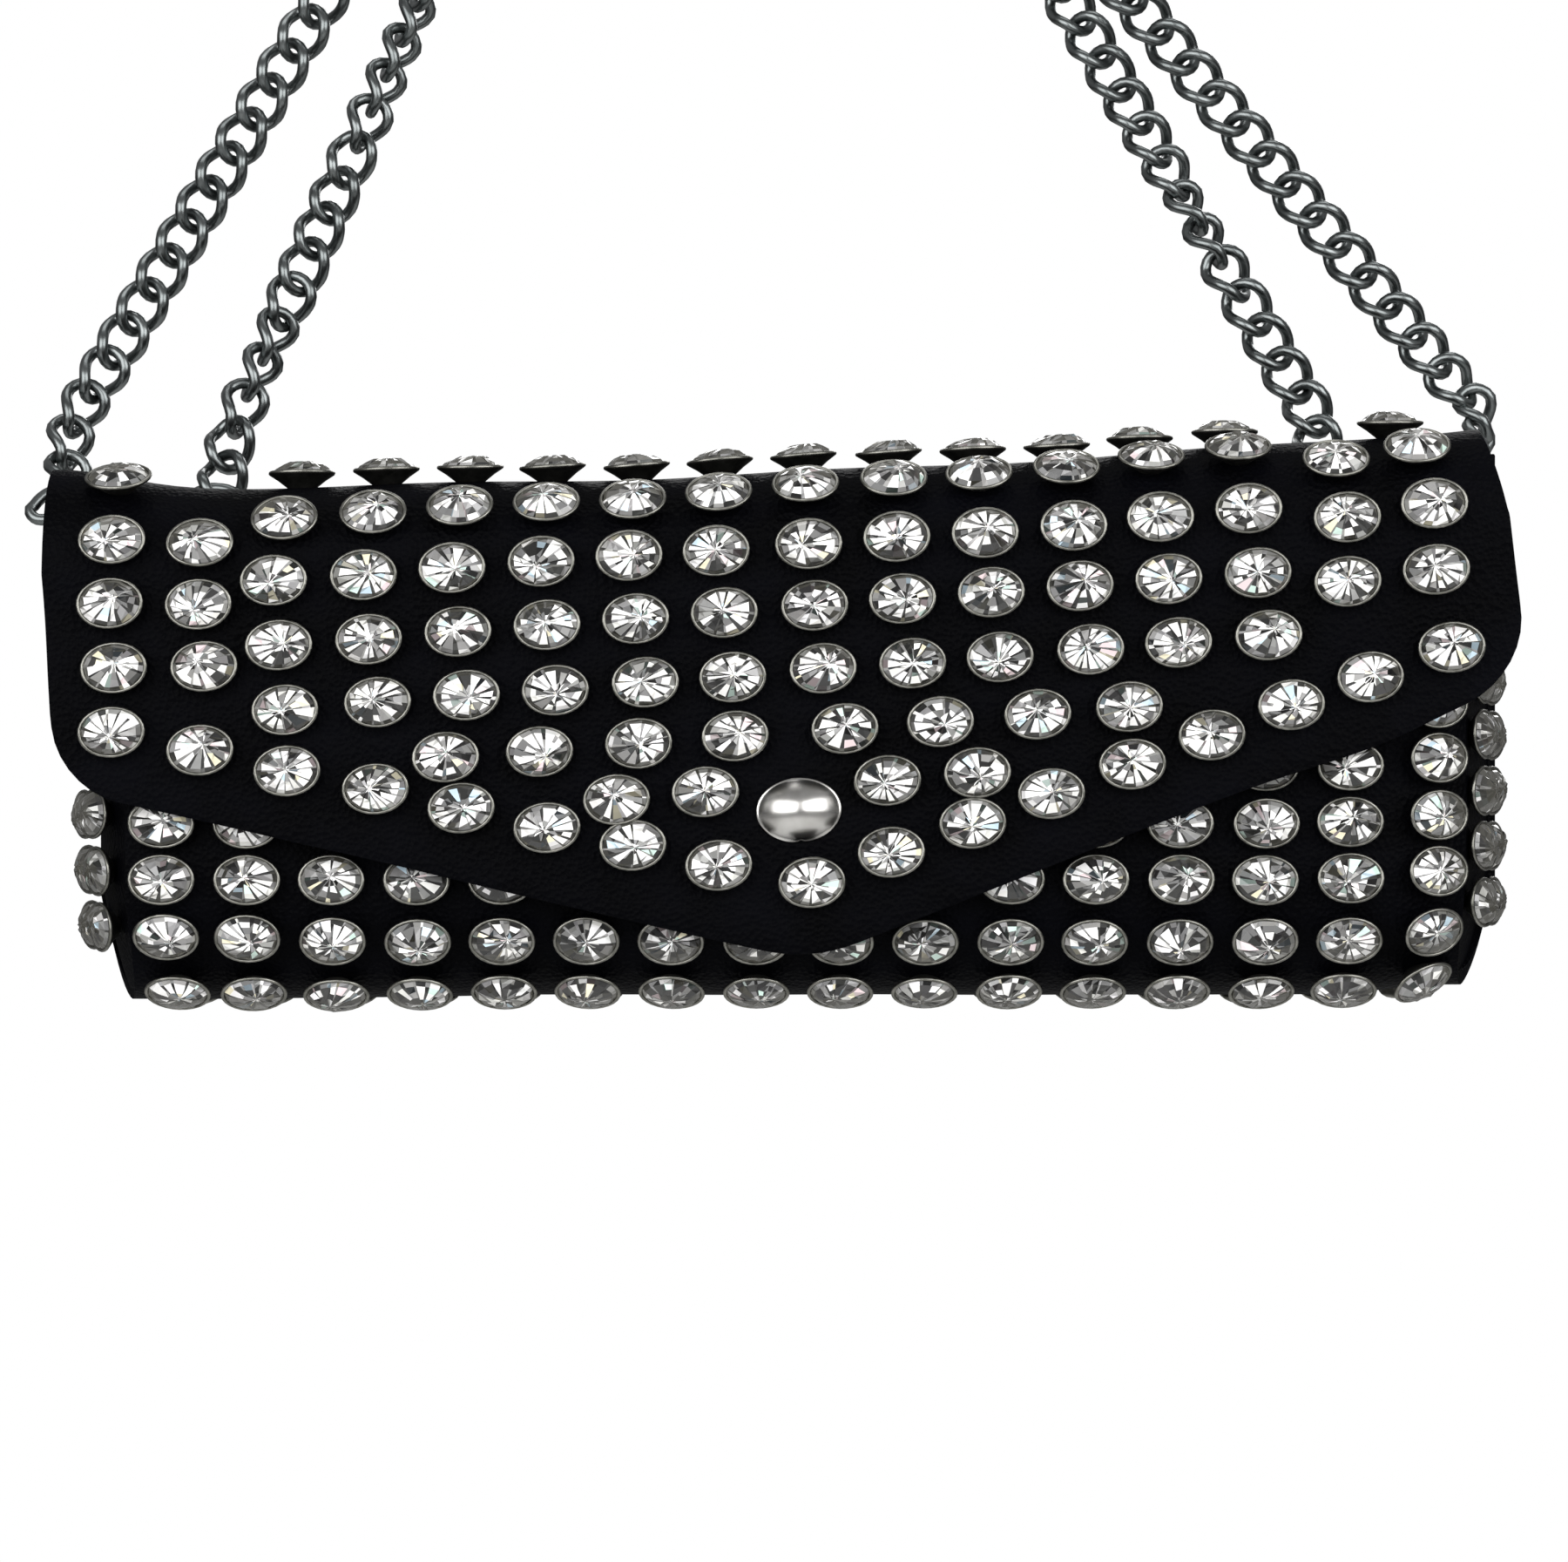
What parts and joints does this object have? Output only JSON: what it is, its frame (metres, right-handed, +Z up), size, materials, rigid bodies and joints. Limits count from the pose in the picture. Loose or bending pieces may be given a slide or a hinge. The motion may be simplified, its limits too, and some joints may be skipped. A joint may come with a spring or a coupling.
{
  "type": "chain wallet",
  "caption": "Small crystal-studded leather clutch wallet with a pointed envelope flap, domed snap, card slots, zip coin pocket and two curb chains.",
  "frame": {"origin": "hold point at the chains' crown, between the two chains, where a hand, hook or shoulder carries them", "axes": "+Z up along the hanging height, +Y from the front flap towards the back, +X to the right of the front view"},
  "size_m": [0.2258, 0.0635, 0.24],
  "materials": {
    "shell_leather": "fine pebbled, matt",
    "card_leather": "smooth, matt",
    "lining_cloth": "fine twill",
    "zip_tape": "woven tape",
    "zip_metal": "satin nickel",
    "snap_metal": "satin nickel",
    "polished_silver": "mirror polished",
    "cup_metal": "aged nickel",
    "crystal": "faceted, foil backed",
    "chain_gunmetal": "polished gunmetal"
  },
  "bodies": {
    "strap": {"ring_outer_left": "chain_gunmetal", "ring_inner_left": "chain_gunmetal", "ring_inner_right": "chain_gunmetal", "ring_outer_right": "chain_gunmetal", "chain_outer_left": "chain_gunmetal", "chain_inner_left": "chain_gunmetal", "chain_inner_right": "chain_gunmetal", "chain_outer_right": "chain_gunmetal"},
    "bag": {"front_panel": "shell_leather", "back_panel": "shell_leather", "left_gusset": "shell_leather", "right_gusset": "shell_leather", "body_lining": "lining_cloth", "snap_stud": "snap_metal", "card_slots_left": "card_leather", "card_slots_right": "card_leather", "coin_pocket": "lining_cloth", "zip_tape": "zip_tape", "zip_teeth": "zip_metal", "zip_stops": "zip_metal", "tab_outer_left": "shell_leather", "tab_inner_left": "shell_leather", "tab_inner_right": "shell_leather", "tab_outer_right": "shell_leather", "cups_front": "cup_metal", "stones_front": "crystal", "cups_bottom": "cup_metal", "stones_bottom": "crystal", "cups_back": "cup_metal", "stones_back": "crystal", "cups_left_gusset": "cup_metal", "stones_left_gusset": "crystal", "cups_right_gusset": "cup_metal", "stones_right_gusset": "crystal"},
    "flap": {"flap_leather": "shell_leather", "flap_lining": "lining_cloth", "snap_cap": "polished_silver", "snap_socket": "snap_metal", "cups_flap_field": "cup_metal", "stones_flap_field": "crystal", "cups_flap_border": "cup_metal", "stones_flap_border": "crystal", "cups_flap_crest": "cup_metal", "stones_flap_crest": "crystal"},
    "slider": {"zip_slider": "zip_metal", "zip_pull": "zip_metal"}
  },
  "joints": [
    {"name": "bag_swing", "type": "hinge", "parent": "strap", "child": "bag", "pos_m": [0.017, -0.0125, -0.165], "axis": [-1, 0, 0], "range_deg": [0, 15]},
    {"name": "flap_fold", "type": "hinge", "parent": "bag", "child": "flap", "pos_m": [0.017, -0.0155, -0.1595], "axis": [-0.999, 0, -0.0436], "range_deg": [0, 75]},
    {"name": "zip_slide", "type": "slide", "parent": "bag", "child": "slider", "axis": [1, 0, 0], "range_m": [0, 0.138]}
  ]
}
